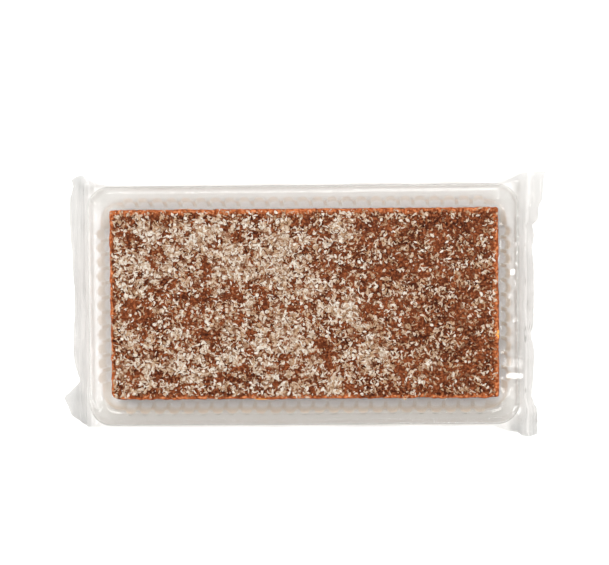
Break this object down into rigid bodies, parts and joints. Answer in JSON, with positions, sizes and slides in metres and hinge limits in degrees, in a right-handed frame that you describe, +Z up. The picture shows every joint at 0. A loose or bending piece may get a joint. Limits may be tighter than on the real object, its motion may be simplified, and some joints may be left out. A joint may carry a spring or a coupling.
{
  "type": "packed lolly cake",
  "caption": "Rectangular slab of lolly cake topped with desiccated coconut, in a clear fluted tray and a clear flow-wrap film with crimped ends.",
  "frame": {"origin": "middle of the film's flat underside, on the surface the pack rests on", "axes": "+X along the slab's length, toward the right end of the picture; +Y across it, toward the top of the picture; +Z up out of the slab's top"},
  "size_m": [0.2342, 0.128, 0.026],
  "materials": {
    "cake": "crumbly brown malt-biscuit cake",
    "lolly": "chewy orange lolly",
    "tray": "clear thermoformed plastic",
    "film": "clear flow-wrap film"
  },
  "bodies": {
    "root": {"cake": "cake", "lolly_right": "lolly", "lolly_corner": "lolly", "lolly_front": "lolly", "lolly_back": "lolly", "tray": "tray", "film": "film"}
  },
  "joints": []
}
